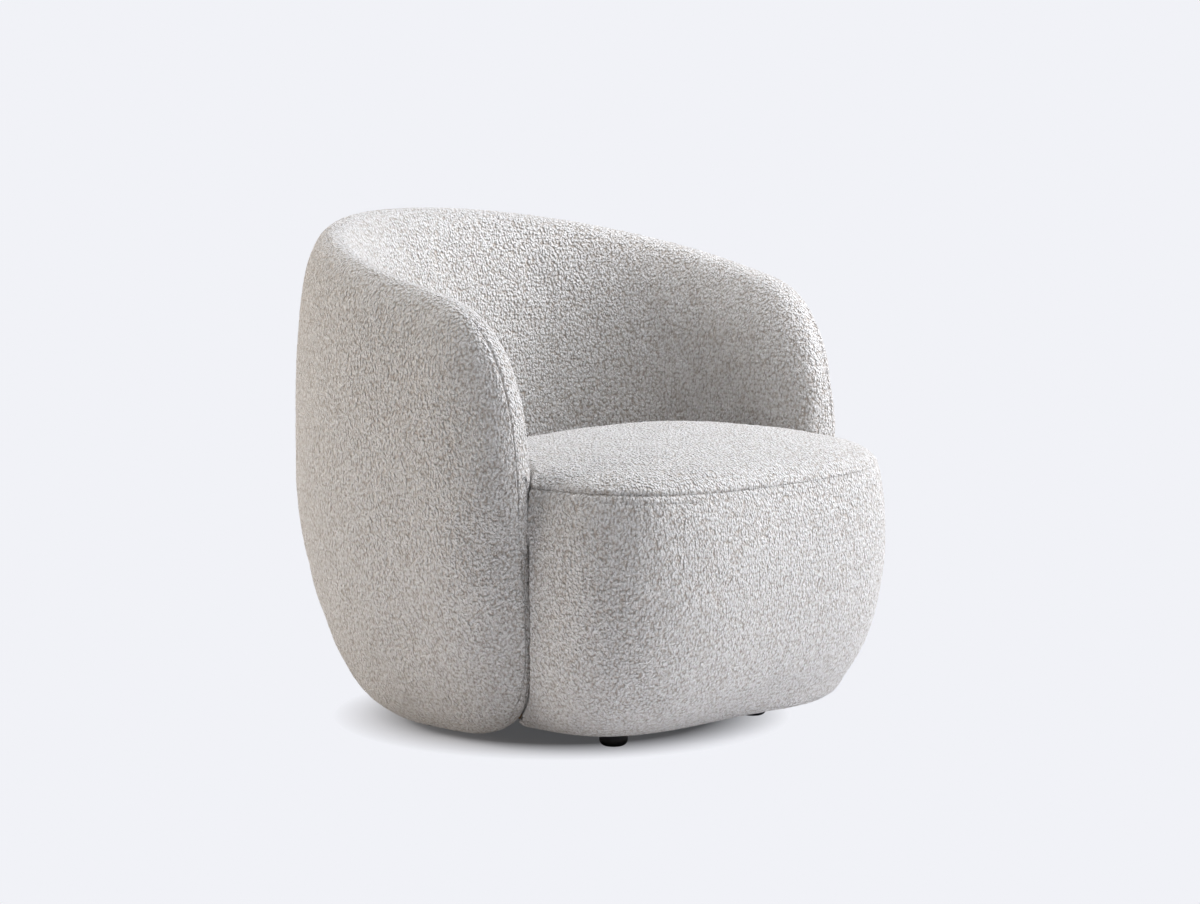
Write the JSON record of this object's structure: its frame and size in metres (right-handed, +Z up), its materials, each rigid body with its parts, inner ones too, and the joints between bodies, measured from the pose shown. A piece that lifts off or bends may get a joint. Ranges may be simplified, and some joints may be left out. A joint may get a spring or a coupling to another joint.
{
  "type": "tub chair",
  "caption": "Upholstered tub chair in looped cream wool: one wall forms the back and both arms and slopes down to round noses, with a bulging seat between them on low black feet.",
  "frame": {"origin": "on the floor, under the middle of the chair's width and depth", "axes": "+Z up, the seat faces -Y, +X is towards the arm at a sitter's left hand"},
  "size_m": [0.795, 0.822, 0.73],
  "materials": {
    "wool_boucle": "matt looped wool, warm off-white",
    "foam": "open-cell polyurethane foam",
    "wadding": "white polyester wadding",
    "plywood": "raw birch plywood",
    "frame_board": "raw pine and hardboard",
    "webbing": "woven elastic webbing",
    "dust_cloth": "black non-woven cloth",
    "glide_plastic": "black moulded plastic, satin",
    "zinc_steel": "zinc-plated steel"
  },
  "bodies": {
    "root": {"base_rail": "plywood", "seat_rail": "plywood", "top_rail": "plywood", "lower_rib_back": "frame_board", "lower_rib_rear_left": "frame_board", "lower_rib_rear_right": "frame_board", "lower_rib_side_left": "frame_board", "lower_rib_side_right": "frame_board", "lower_rib_arm_left": "frame_board", "lower_rib_arm_right": "frame_board", "upper_rib_back": "frame_board", "upper_rib_rear_left": "frame_board", "upper_rib_rear_right": "frame_board", "upper_rib_side_left": "frame_board", "upper_rib_side_right": "frame_board", "upper_rib_arm_left": "frame_board", "upper_rib_arm_right": "frame_board", "outer_facing": "frame_board", "inner_facing": "frame_board", "outer_foam": "foam", "inner_foam": "foam", "rim_foam": "foam", "bottom_foam": "foam", "nose_foam_left": "foam", "nose_foam_right": "foam", "outer_cover": "wool_boucle", "inner_cover": "wool_boucle", "wall_bottom_cloth": "dust_cloth", "seat_base_plate": "plywood", "seat_box_front": "frame_board", "seat_box_back": "frame_board", "seat_box_left": "frame_board", "seat_box_right": "frame_board", "seat_corner_blocks": "frame_board", "seat_deck": "plywood", "seat_webbing": "webbing", "seat_infill_pad": "foam", "seat_front_foam": "foam", "seat_cushion_foam": "foam", "seat_wadding": "wadding", "seat_top_cover": "wool_boucle", "seat_border_cover": "wool_boucle", "seat_bottom_cloth": "dust_cloth", "foot_front_left": "glide_plastic", "foot_front_right": "glide_plastic", "foot_rear_left": "glide_plastic", "foot_rear_right": "glide_plastic", "foot_studs": "zinc_steel", "foot_t_nuts": "zinc_steel", "deck_bolts": "zinc_steel", "deck_washers": "zinc_steel", "deck_t_nuts": "zinc_steel"}
  },
  "joints": []
}
